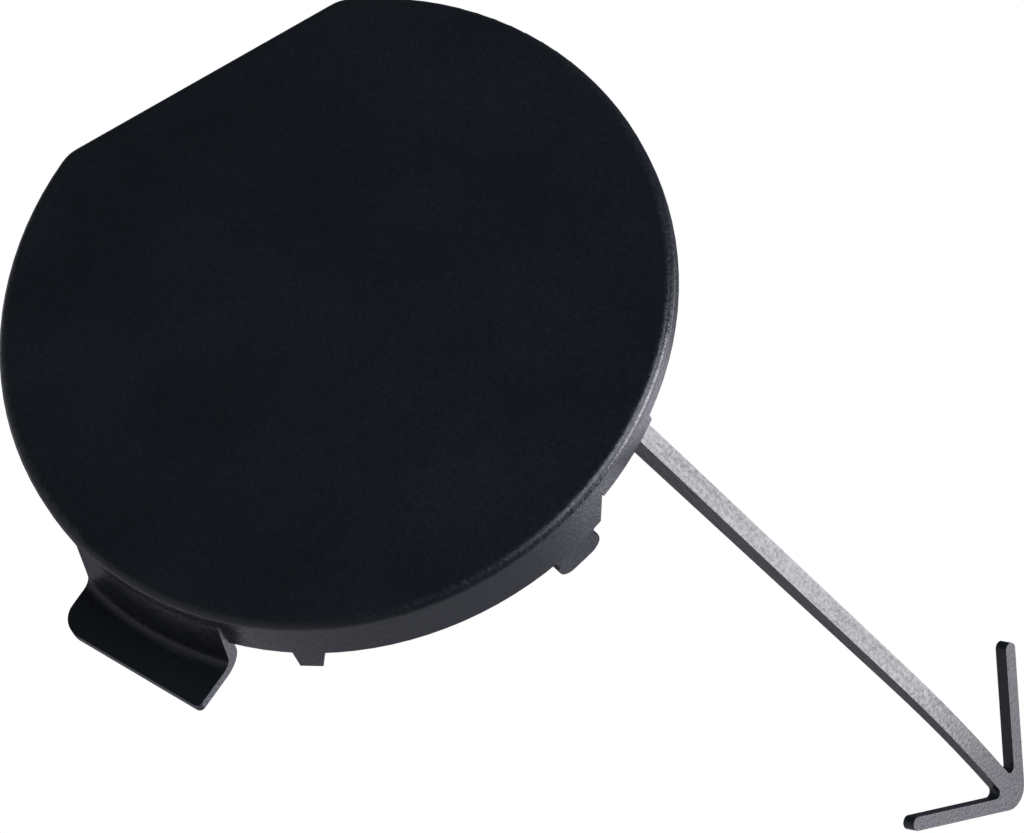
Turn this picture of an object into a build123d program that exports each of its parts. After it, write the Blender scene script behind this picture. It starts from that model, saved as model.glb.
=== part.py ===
from build123d import *

import os
from math import cos, degrees, hypot, radians, sin

# Tow hook cover, moulded in one piece, in millimetres.
# The face looks along -Y, +Z is up, and +X is to the right as the face is seen.
# The origin is on the axis of the round face, at the back of its edge, where the cover seats.
# Angles are in degrees round that axis, from +X towards +Z.

# Face plate
face_diameter = 70.0
flat_distance = 31.2
flat_corner_radius = 4.0
plate_thickness = 2.4
face_edge_radius = 1.0
floor_recess = 0.4

# Wall behind the plate: flush with the edge beside the tongue and clip, set in as a ring elsewhere
wall_thickness = 1.8
wall_depth = 4.6
edge_wall_step = 0.25
edge_ledge_height = 0.2
edge_wall_start_angle = 282.5
edge_wall_end_angle = 384.0
edge_ramp_length = 1.5
ring_inset = 3.0

# Low pad under the strap's foot, flush with the plate's edge, between the edge wall and the seat
pad_height = 1.0
pad_margin = 0.3

# Hook tongue: a neck that flares out behind the edge wall and bends into a lip, with gussets inside the wall
tongue_angle = 297.6
tongue_width = 18.2
tongue_depth = 7.6
tongue_flare = 1.1
tongue_reach = 5.2
tongue_thickness = 1.2
tongue_bend_radius = 1.2
tongue_leading_radius = 2.5
tongue_trailing_radius = 0.6
gusset_spacing = 10.0
gusset_thickness = 1.4
gusset_height = 3.4
gusset_foot = 3.6

# The nub and the clips stand on the plate, this far inside the wall's outer surface
finger_step = 0.3

# Nub beside the tongue
nub_angle = 326.4
nub_root_width = 3.4
nub_end_width = 2.4
nub_length = 3.9

# Snap clips: one on the edge wall, and one on the ring opposite the tongue
clip_angle = 15.6
clip_root_width = 7.0
clip_neck_width = 4.8
clip_head_width = 5.4
clip_length = 3.9
clip_head_length = 2.0
clip_end_radius = 1.6

# Strap: leaves its foot leaning outward and aside, then bends towards the axis direction
strap_angle = 36.9
strap_foot_inset = 2.5
strap_side_lean = 4.4
strap_foot_lean = 31.0
strap_bend_angle = 10.0
strap_bend_radius = 105.0
strap_straight = 45.6
strap_width = 2.05
strap_foot_depth = 2.9
strap_end_depth = 1.4

# Arrow anchor at the strap's end
anchor_stem = 4.4
barb_length = 16.2
barb_angle = 41.4
barb_width = 1.45
crown_radius = 1.6
notch_radius = 0.6

face_radius = face_diameter / 2
edge_wall_radius = face_radius - edge_wall_step
ring_radius = face_radius - ring_inset
lip_radius = face_radius + tongue_reach
pad_end_angle = 360 + strap_angle + degrees((strap_width / 2 + pad_margin) / ring_radius)
opposite_clip_angle = tongue_angle - 180
root_depth = plate_thickness / 2


def radial(angle):
    """Unit vector pointing out from the axis at an angle."""
    return Vector(cos(radians(angle)), 0, sin(radians(angle)))


def tangent(angle):
    """Unit vector along the edge at an angle, towards growing angles."""
    return Vector(-sin(radians(angle)), 0, cos(radians(angle)))


def outline(inset):
    """Round outline with its one flat on the left, set in from the plate's edge."""
    with BuildSketch(Plane.XZ) as profile:
        Circle(face_radius - inset)
        with Locations((inset - flat_distance, 0)):
            Rectangle(face_diameter, face_diameter, align=(Align.MAX, Align.CENTER), mode=Mode.SUBTRACT)
        fillet(profile.vertices().group_by(Axis.X)[0], flat_corner_radius)
    return profile.sketch


def edge_sector(start, end, inset):
    """The part of a set-in outline that lies between two angles."""
    reach = face_diameter
    first, last = [(reach * cos(radians(a)), reach * sin(radians(a))) for a in (start, end)]
    with BuildSketch(Plane.XZ) as sector:
        with BuildLine():
            Polyline(last, (0, 0), first)
            RadiusArc(first, last, -reach)
        make_face()
        add(outline(inset), mode=Mode.INTERSECT)
    return sector.sketch


def edge_plane(angle, radius):
    """Plane across a radius at an angle: x along the edge, y to the back, z outward."""
    return Plane(radial(angle) * radius, x_dir=-tangent(angle), z_dir=radial(angle))


def clip_profile():
    """Snap clip: a finger behind the wall with a waisted neck and a wider, rounded head."""
    root = clip_root_width / 2
    neck = clip_neck_width / 2
    head = clip_head_width / 2
    tip = wall_depth + clip_length
    shoulder = tip - clip_head_length
    waist = (wall_depth + shoulder) / 2
    with BuildSketch() as profile:
        with BuildLine():
            Polyline((-root, wall_depth), (-root, -root_depth), (root, -root_depth), (root, wall_depth))
            ThreePointArc((root, wall_depth), (neck, waist), (head, shoulder))
            Polyline((head, shoulder), (head, tip), (-head, tip), (-head, shoulder))
            ThreePointArc((-head, shoulder), (-neck, waist), (-root, wall_depth))
        make_face()
        fillet(profile.vertices().group_by(Axis.Y)[-1], clip_end_radius)
    return profile.sketch


# The strap's middle line lies in this plane: x outward from the axis, y to the back
strap_plane = Plane(
    radial(strap_angle) * (face_radius - strap_foot_inset),
    x_dir=radial(strap_angle),
    z_dir=tangent(strap_angle) * cos(radians(strap_side_lean)) + Vector(0, sin(radians(strap_side_lean))),
)
strap_end_lean = strap_foot_lean - strap_bend_angle
foot_along = Vector(sin(radians(strap_foot_lean)), cos(radians(strap_foot_lean)))
foot_out = Vector(foot_along.Y, -foot_along.X)
end_along = Vector(sin(radians(strap_end_lean)), cos(radians(strap_end_lean)))
end_out = Vector(end_along.Y, -end_along.X)
foot_start = foot_along * -root_depth
bend_start = foot_along * strap_straight
bend_end = bend_start + (end_out - foot_out) * strap_bend_radius
strap_length = strap_straight + strap_bend_radius * radians(strap_bend_angle)
bend_depth = strap_foot_depth + (strap_end_depth - strap_foot_depth) * strap_straight / strap_length

# The arrow's profile lies in this plane: x across the strap, y back along it
anchor_plane = Plane(
    strap_plane.from_local_coords(bend_end + end_along * anchor_stem),
    x_dir=strap_plane.z_dir,
    z_dir=strap_plane.x_dir * end_out.X + strap_plane.y_dir * end_out.Y,
)

os.makedirs("parts", exist_ok=True)

with BuildPart() as tongue:
    # Section of even thickness, turned about the axis
    tongue_arc = degrees(2 * tongue_width / face_radius)
    tongue_start = tongue_angle + tongue_arc / 2
    neck_root = edge_wall_radius
    neck_end = edge_wall_radius + tongue_flare
    lip_far = hypot(lip_radius, tongue_width)
    lip_back = tongue_depth + tongue_thickness
    section_plane = Plane(Vector(0, 0), x_dir=radial(tongue_start), z_dir=tangent(tongue_start))
    with BuildSketch(section_plane) as section:
        with BuildLine():
            Polyline(
                (neck_root, -root_depth),
                (neck_end, tongue_depth),
                (lip_far, tongue_depth),
                (lip_far, lip_back),
                (neck_end - tongue_thickness, lip_back),
                (neck_root - tongue_thickness, -root_depth),
                close=True,
            )
        make_face()
        front_corner = section.vertices().sort_by_distance((neck_end, tongue_depth))[0]
        fillet(front_corner, tongue_bend_radius)
        back_corner = section.vertices().sort_by_distance((neck_end - tongue_thickness, lip_back))[0]
        fillet(back_corner, tongue_bend_radius + tongue_thickness)
    revolve(axis=Axis.Y, revolution_arc=tongue_arc)

    # Straight sides and outer edge, with one corner well rounded and the other nearly sharp
    with BuildSketch(Plane((0, -root_depth, 0), x_dir=tangent(tongue_angle), z_dir=(0, 1, 0))) as trim:
        with Locations((0, lip_radius)):
            Rectangle(tongue_width, face_radius, align=(Align.CENTER, Align.MAX))
        fillet(trim.vertices().group_by(Axis.Y)[-1].sort_by(Axis.X)[0], tongue_leading_radius)
        fillet(trim.vertices().group_by(Axis.Y)[-1].sort_by(Axis.X)[-1], tongue_trailing_radius)
    extrude(amount=root_depth + lip_back, mode=Mode.INTERSECT)

with BuildPart() as cover:
    # Plate with a rounded edge round its face
    with BuildSketch(Plane.XZ):
        add(outline(0))
    extrude(amount=plate_thickness)
    fillet(cover.faces().sort_by(Axis.Y)[0].edges(), face_edge_radius)

    # Wall behind the plate, and the shallow floor inside it
    with BuildSketch(Plane.XZ, mode=Mode.PRIVATE) as wall:
        add(outline(ring_inset))
        add(edge_sector(edge_wall_start_angle, edge_wall_end_angle, edge_wall_step))
    with BuildSketch(Plane.XZ, mode=Mode.PRIVATE) as hollow:
        add(wall.sketch)
        offset(amount=-wall_thickness)
    extrude(wall.sketch, amount=-wall_depth)
    extrude(hollow.sketch, amount=-wall_depth, mode=Mode.SUBTRACT)
    extrude(hollow.sketch, amount=floor_recess, mode=Mode.SUBTRACT)

    # Ledge along the edge wall and pad under the strap's foot, both flush with the plate's edge
    for start, end, height in (
        (edge_wall_start_angle, edge_wall_end_angle, edge_ledge_height),
        (edge_wall_end_angle, pad_end_angle, pad_height),
    ):
        with BuildSketch(Plane.XZ):
            add(edge_sector(start, end, 0))
            add(outline(ring_inset + wall_thickness / 2), mode=Mode.SUBTRACT)
        extrude(amount=-height)

    # The edge wall's end slopes down to the pad
    with BuildSketch(edge_plane(edge_wall_end_angle, face_radius)):
        with BuildLine():
            Polyline((0, pad_height), (edge_ramp_length, wall_depth), (0, wall_depth), close=True)
        make_face()
    extrude(amount=edge_wall_step - ring_inset, mode=Mode.SUBTRACT)

    # Hook tongue and the gussets inside the wall behind it
    add(tongue.part)
    wall_middle = edge_wall_radius - wall_thickness / 2
    gusset_slope = edge_wall_radius - wall_thickness - gusset_foot
    for side in (-1, 1):
        shift = tangent(tongue_angle) * (side * gusset_spacing / 2)
        with BuildSketch(Plane(shift, x_dir=radial(tongue_angle), z_dir=tangent(tongue_angle))):
            with BuildLine():
                Polyline(
                    (wall_middle, gusset_height),
                    (gusset_slope, -floor_recess),
                    (gusset_slope, -root_depth),
                    (wall_middle, -root_depth),
                    close=True,
                )
            make_face()
        extrude(amount=gusset_thickness / 2, both=True)

    # Nub beside the tongue
    with BuildSketch(edge_plane(nub_angle, edge_wall_radius - finger_step)):
        nub_tip = wall_depth + nub_length
        with BuildLine():
            Polyline(
                (-nub_root_width / 2, wall_depth),
                (-nub_root_width / 2, -root_depth),
                (nub_root_width / 2, -root_depth),
                (nub_root_width / 2, nub_tip),
                (nub_root_width / 2 - nub_end_width, nub_tip),
                close=True,
            )
        make_face()
    extrude(amount=-wall_thickness)

    # Snap clips
    for angle, outer_radius in ((clip_angle, edge_wall_radius), (opposite_clip_angle, ring_radius)):
        with BuildSketch(edge_plane(angle, outer_radius - finger_step)):
            add(clip_profile())
        extrude(amount=-wall_thickness)

    # Strap
    with BuildSketch(strap_plane):
        with BuildLine():
            for side in (-1, 1):
                foot_edge = foot_start + foot_out * (side * strap_foot_depth / 2)
                bend_edge = bend_start + foot_out * (side * bend_depth / 2)
                end_edge = bend_end + end_out * (side * strap_end_depth / 2)
                Polyline(foot_start, foot_edge, bend_edge)
                TangentArc(bend_edge, end_edge, tangent=bend_edge - foot_edge)
                Line(end_edge, bend_end)
        make_face()
    extrude(amount=strap_width / 2, both=True)

    # Arrow anchor: two barbs swept back from a rounded crown
    with BuildSketch(anchor_plane) as arrow:
        barb_side = barb_length * sin(radians(barb_angle))
        barb_back = barb_length * cos(radians(barb_angle))
        crown_top = crown_radius / sin(radians(barb_angle)) - crown_radius
        with BuildLine():
            FilletPolyline((-barb_side, barb_back), (0, 0), (barb_side, barb_back), radius=crown_radius)
            offset(amount=barb_width / 2)
        make_face()
        with Locations((0, anchor_stem)):
            Rectangle(strap_width, anchor_stem - crown_top, align=(Align.CENTER, Align.MAX))
        fillet(arrow.vertices().sort_by_distance((0, anchor_stem / 2))[:2], notch_radius)
    extrude(amount=strap_end_depth / 2, both=True)

cover.part.label = "cover"
export_step(cover.part, "parts/cover.step")
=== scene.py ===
"""Looks of the tow hook cover: its moulded plastic, the studio round it and the camera."""

import logging
from dataclasses import dataclass, field
from enum import Enum
from math import cos, radians, sin
from typing import Any, Optional, Union

import bmesh
import bpy
from mathutils import Matrix, Vector


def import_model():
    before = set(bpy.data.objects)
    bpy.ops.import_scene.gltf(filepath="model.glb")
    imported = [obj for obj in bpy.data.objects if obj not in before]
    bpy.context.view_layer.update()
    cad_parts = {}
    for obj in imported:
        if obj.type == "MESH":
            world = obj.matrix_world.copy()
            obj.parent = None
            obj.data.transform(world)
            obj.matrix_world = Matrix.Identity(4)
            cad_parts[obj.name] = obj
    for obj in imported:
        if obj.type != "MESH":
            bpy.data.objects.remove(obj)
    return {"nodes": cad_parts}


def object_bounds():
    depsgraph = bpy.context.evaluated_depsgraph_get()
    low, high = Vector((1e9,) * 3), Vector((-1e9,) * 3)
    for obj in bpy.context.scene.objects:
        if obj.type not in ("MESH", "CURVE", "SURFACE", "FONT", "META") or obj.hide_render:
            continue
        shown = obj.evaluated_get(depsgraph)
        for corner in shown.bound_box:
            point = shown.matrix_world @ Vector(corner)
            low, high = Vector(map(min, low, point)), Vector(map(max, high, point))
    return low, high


frame: dict[str, Any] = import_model()
cad_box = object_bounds()

log = logging.getLogger("tow_hook_cover")

Triple = tuple[float, float, float]
Colour = tuple[float, float, float, float]

MM = 0.001
WHITE = "#ffffff"
SENSOR_WIDTH = 36.0

# A noise texture seldom leaves this range, which is stretched to the whole swing
NOISE_LOW = 0.3
NOISE_HIGH = 0.7


class Tint(Enum):
    """Colours of the lamps."""

    FAINT_VIOLET = "#fbf9ff"
    VIOLET = "#f3f1ff"
    COOL = "#eef3ff"


def linear(hex_colour: str) -> Colour:
    """Turns an sRGB hex colour into linear light, by the curve of the sRGB standard.

    Args:
        hex_colour: Six hex digits after a hash.

    Returns:
        Red, green, blue and a full alpha, ready for a colour socket.
    """
    digits = hex_colour.lstrip("#")
    channels = [int(digits[i:i + 2], 16) / 255 for i in (0, 2, 4)]
    lit = [c / 12.92 if c <= 0.04045 else ((c + 0.055) / 1.055) ** 2.4 for c in channels]
    return (lit[0], lit[1], lit[2], 1.0)


def add_node(
    tree: bpy.types.NodeTree,
    kind: str,
    inputs: Optional[dict[Union[str, int], Any]] = None,
    **settings: Any,
) -> bpy.types.Node:
    """Adds a node, sets it and links what feeds it.

    Args:
        tree: Node tree that takes the node.
        kind: Blender's name for the node type.
        inputs: Socket name or number to a value, or to an output socket that is linked in.
        **settings: Attributes of the node itself.

    Returns:
        The new node.
    """
    node = tree.nodes.new(kind)
    for name, value in settings.items():
        setattr(node, name, value)
    for name, value in (inputs or {}).items():
        socket = node.inputs[name]
        if isinstance(value, bpy.types.NodeSocket):
            tree.links.new(value, socket)
        else:
            socket.default_value = value
    return node


@dataclass(frozen=True)
class Noise:
    """A noise texture, with the size of its blots in the units of its coordinates."""

    size: float
    detail: float
    roughness: float

    def add(
        self, tree: bpy.types.NodeTree, place: bpy.types.NodeSocket
    ) -> bpy.types.NodeSocket:
        """Adds the texture to a material.

        Args:
            tree: Node tree of the material.
            place: Coordinates of the texture.

        Returns:
            Output of the noise, mostly from NOISE_LOW to NOISE_HIGH.
        """
        texture = add_node(
            tree, "ShaderNodeTexNoise",
            {
                "Vector": place,
                "Scale": 1 / self.size,
                "Detail": self.detail,
                "Roughness": self.roughness,
            },
        )
        return texture.outputs["Fac"]


@dataclass(frozen=True)
class MouldedPolypropylene:
    """Black polypropylene, injection moulded in a finely spark-eroded mould.

    A deep, faintly blue black that goes grey only where it mirrors a lamp, and looks dry and
    speckled there. Each spread is how far its noise swings the roughness either way.
    """

    name: str = "black_moulded_polypropylene"
    colour: str = "#101418"
    dull_colour: str = "#14181c"
    roughness: float = 0.33
    ior: float = 1.49

    clouds: Noise = Noise(16 * MM, 3.0, 0.55)
    cloud_spread: float = 0.04
    # The black is clear up to the first level of the clouds, and dull from the second on
    clear_level: float = 0.35
    dull_level: float = 0.65

    # Width and length come from stretched coordinates, in which the blots have size 1
    drag: Noise = Noise(1.0, 1.0, 0.5)
    drag_direction: Triple = (0.451, 0.855, 0.257)
    drag_width: float = 0.4 * MM
    drag_length: float = 12 * MM
    drag_spread: float = 0.04

    # Spark erosion leaves a grain of about 0.05 mm, too fine for the render, so it is drawn coarser
    grain: Noise = Noise(0.42 * MM, 2.0, 0.6)
    grain_height: float = 0.034 * MM
    grain_spread: float = 0.1

    def make(self) -> bpy.types.Material:
        """Builds the material on Object coordinates.

        Returns:
            The finished material.
        """
        material = bpy.data.materials.new(self.name)
        material.use_nodes = True
        tree = material.node_tree
        tree.nodes.clear()
        place = add_node(tree, "ShaderNodeTexCoord").outputs["Object"]

        # Slow clouds where the melt cooled unevenly: the black is a little greyer and duller there
        clouds = self.clouds.add(tree, place)

        # Fine grain of the eroded mould: a dry sparkle along the lit sides
        grain = self.grain.add(tree, place)
        bump = add_node(
            tree, "ShaderNodeBump",
            {"Height": grain, "Strength": 1.0, "Distance": self.grain_height},
        )
        shader = add_node(
            tree, "ShaderNodeBsdfPrincipled",
            {
                "Base Color": self._black(tree, clouds),
                "Roughness": self._gloss(tree, place, clouds, grain),
                "IOR": self.ior,
                "Normal": bump.outputs["Normal"],
            },
        )
        add_node(tree, "ShaderNodeOutputMaterial", {"Surface": shader.outputs["BSDF"]})
        return material

    def _black(
        self, tree: bpy.types.NodeTree, clouds: bpy.types.NodeSocket
    ) -> bpy.types.NodeSocket:
        """Mixes the two blacks by the clouds.

        Args:
            tree: Node tree of the material.
            clouds: Noise of the clouds.

        Returns:
            Colour output.
        """
        ramp = add_node(tree, "ShaderNodeValToRGB", {"Fac": clouds})
        clear, dull = ramp.color_ramp.elements
        clear.position, clear.color = self.clear_level, linear(self.colour)
        dull.position, dull.color = self.dull_level, linear(self.dull_colour)
        return ramp.outputs["Color"]

    def _gloss(
        self,
        tree: bpy.types.NodeTree,
        place: bpy.types.NodeSocket,
        clouds: bpy.types.NodeSocket,
        grain: bpy.types.NodeSocket,
    ) -> bpy.types.NodeSocket:
        """Varies the roughness by the clouds, by drag marks along the strap, and by the grain.

        Args:
            tree: Node tree of the material.
            place: Object coordinates.
            clouds: Noise of the clouds.
            grain: Noise of the grain.

        Returns:
            Roughness output.
        """
        # Drag marks that the mould leaves along the strap: thin streaks with more or less shine
        along_strap = add_node(
            tree, "ShaderNodeMapping",
            {
                "Vector": place,
                "Rotation": Vector(self.drag_direction).to_track_quat("Z", "Y").to_euler(),
                "Scale": (self.drag_width, self.drag_width, self.drag_length),
            },
            vector_type="TEXTURE",
        )
        drag = self.drag.add(tree, along_strap.outputs["Vector"])

        roughness: Union[float, bpy.types.NodeSocket] = self.roughness
        for noise, spread in (
            (clouds, self.cloud_spread),
            (drag, self.drag_spread),
            (grain, self.grain_spread),
        ):
            swing = add_node(
                tree, "ShaderNodeMapRange",
                {
                    "Value": noise,
                    "From Min": NOISE_LOW,
                    "From Max": NOISE_HIGH,
                    "To Min": -spread,
                    "To Max": spread,
                },
            )
            roughness = add_node(
                tree, "ShaderNodeMath",
                {0: roughness, 1: swing.outputs["Result"]},
                operation="ADD",
            ).outputs["Value"]
        return roughness


@dataclass
class Cover:
    """The moulded cover, shown as the frame's own solid."""

    node: str = "cover"
    finish: MouldedPolypropylene = field(default_factory=MouldedPolypropylene)

    def dress(self) -> bpy.types.Object:
        """Gives the solid its plastic.

        Returns:
            The dressed object.
        """
        piece = frame["nodes"][self.node]
        material = self.finish.make()
        if not piece.material_slots:
            piece.data.materials.append(material)
        for slot in piece.material_slots:
            slot.material = material
        log.info("%s: dressed in %s", piece.name, material.name)
        return piece


@dataclass(frozen=True)
class Softbox:
    """A square soft lamp that faces the part and stays out of the picture."""

    name: str
    direction: Triple
    size: float
    watts: float
    tint: Tint
    distance: float = 700 * MM

    def hang(self) -> bpy.types.Object:
        """Hangs the lamp in its direction from the origin.

        Returns:
            The lamp's object.
        """
        data = bpy.data.lights.new(self.name, "AREA")
        data.size = self.size
        data.energy = self.watts
        data.color = linear(self.tint.value)[:3]
        lamp = bpy.data.objects.new(self.name, data)
        way = Vector(self.direction).normalized()
        lamp.location = way * self.distance
        lamp.rotation_euler = way.to_track_quat("Z", "Y").to_euler()
        lamp.visible_camera = False
        bpy.context.scene.collection.objects.link(lamp)
        return lamp


# The key grazes the strap from above, and the edge light draws the rim on the right.
# The wall is a wide dim panel that greys the lower rim and the hollow back.
# The front light shows the black itself, and the rear one reaches the far side from below.
SOFTBOXES = (
    Softbox("key_softbox", (0.537, 0.105, 0.837), 360 * MM, 5.9, Tint.FAINT_VIOLET),
    Softbox("edge_softbox", (0.28, 0.72, 0.64), 540 * MM, 2.05, Tint.VIOLET),
    Softbox("wall_softbox", (0.4, 0.86, -0.3), 1100 * MM, 1.15, Tint.VIOLET),
    Softbox("front_softbox", (0.47, -0.64, 0.6), 500 * MM, 4.8, Tint.COOL),
    Softbox("rear_softbox", (-0.72, 0.25, -0.65), 500 * MM, 0.4, Tint.COOL),
)


@dataclass
class Studio:
    """Pale floor, white surround and soft lamps."""

    floor_drop: float = 700 * MM
    floor_radius: float = 1700 * MM
    floor_sides: int = 128
    floor_colour: str = "#d2d2d6"
    floor_roughness: float = 0.9
    floor_glow: float = 0.85
    surround_colour: str = "#e4ecff"
    surround_light: float = 0.09
    softboxes: tuple[Softbox, ...] = SOFTBOXES

    def build(self) -> None:
        """Sets up the floor, the surround and the lamps."""
        self._lay_floor()
        self._light_surround()
        for softbox in self.softboxes:
            softbox.hang()
        log.info("studio: floor, surround and %d lamps", len(self.softboxes))

    def _lay_floor(self) -> bpy.types.Object:
        """Makes a round pale floor below the part.

        Returns:
            The floor's object.
        """
        mesh = bpy.data.meshes.new("studio_floor")
        shape = bmesh.new()
        bmesh.ops.create_circle(
            shape, cap_ends=True, segments=self.floor_sides, radius=self.floor_radius
        )
        level = cad_box[0][2] - self.floor_drop
        bmesh.ops.translate(shape, verts=shape.verts, vec=Vector((0, 0, level)))
        shape.to_mesh(mesh)
        shape.free()
        mesh.materials.append(self._floor_paint())
        floor = bpy.data.objects.new("studio_floor", mesh)
        bpy.context.scene.collection.objects.link(floor)
        return floor

    def _floor_paint(self) -> bpy.types.Material:
        """Makes the floor's matt pale paint, which the camera alone sees nearly white.

        Returns:
            The finished material.
        """
        material = bpy.data.materials.new("pale_matt_paint")
        material.use_nodes = True
        tree = material.node_tree
        tree.nodes.clear()
        path = add_node(tree, "ShaderNodeLightPath")
        glow = add_node(
            tree, "ShaderNodeMath",
            {0: path.outputs["Is Camera Ray"], 1: self.floor_glow},
            operation="MULTIPLY",
        )
        shader = add_node(
            tree, "ShaderNodeBsdfPrincipled",
            {
                "Base Color": linear(self.floor_colour),
                "Roughness": self.floor_roughness,
                "Emission Color": linear(WHITE),
                "Emission Strength": glow.outputs["Value"],
            },
        )
        add_node(tree, "ShaderNodeOutputMaterial", {"Surface": shader.outputs["BSDF"]})
        return material

    def _light_surround(self) -> bpy.types.World:
        """Makes the surround: white where the camera looks at it, dim and cool as a light.

        The part has no metal or glass, and its black would mirror a white surround as grey, so
        glossy rays see the dim one.

        Returns:
            The world.
        """
        world = bpy.data.worlds.new("white_surround")
        bpy.context.scene.world = world
        world.use_nodes = True
        tree = world.node_tree
        tree.nodes.clear()
        path = add_node(tree, "ShaderNodeLightPath")
        dim = add_node(
            tree, "ShaderNodeBackground",
            {"Color": linear(self.surround_colour), "Strength": self.surround_light},
        )
        white = add_node(
            tree, "ShaderNodeBackground", {"Color": linear(WHITE), "Strength": 1.0}
        )
        mixed = add_node(
            tree, "ShaderNodeMixShader",
            {
                0: path.outputs["Is Camera Ray"],
                1: dim.outputs["Background"],
                2: white.outputs["Background"],
            },
        )
        add_node(tree, "ShaderNodeOutputWorld", {"Surface": mixed.outputs["Shader"]})
        return world


@dataclass
class Viewpoint:
    """Camera level with the cover, turned to its right and rolled, in degrees and metres."""

    turn: float = 28.5
    roll: float = 60.445
    distance: float = 1.2
    target: Triple = (15.706 * MM, 7.124 * MM, 10.185 * MM)
    frame_width: float = 102.7 * MM

    def place(self) -> bpy.types.Object:
        """Places the camera and makes it the scene's own.

        Returns:
            The camera's object.
        """
        data = bpy.data.cameras.new("photo_camera")
        data.sensor_fit = "HORIZONTAL"
        data.sensor_width = SENSOR_WIDTH
        data.lens = SENSOR_WIDTH * self.distance / self.frame_width
        camera = bpy.data.objects.new("photo_camera", data)
        upright = Vector((0, 0, 1))
        back = Vector((sin(radians(self.turn)), -cos(radians(self.turn)), 0))
        level = upright.cross(back)
        right = level * cos(radians(self.roll)) + upright * sin(radians(self.roll))
        turned = Matrix((right, back.cross(right), back)).transposed().to_4x4()
        stand = Vector(self.target) + back * self.distance
        camera.matrix_world = Matrix.Translation(stand) @ turned
        bpy.context.scene.collection.objects.link(camera)
        bpy.context.scene.camera = camera
        log.info("camera: %.1f m away, %.1f mm across", self.distance, self.frame_width / MM)
        return camera


def main() -> None:
    """Dresses the cover and sets up its studio and camera."""
    logging.basicConfig(level=logging.INFO, format="%(name)s: %(message)s")
    bpy.context.scene.view_settings.view_transform = "Standard"
    Cover().dress()
    Studio().build()
    Viewpoint().place()


if __name__ == "__main__":
    main()
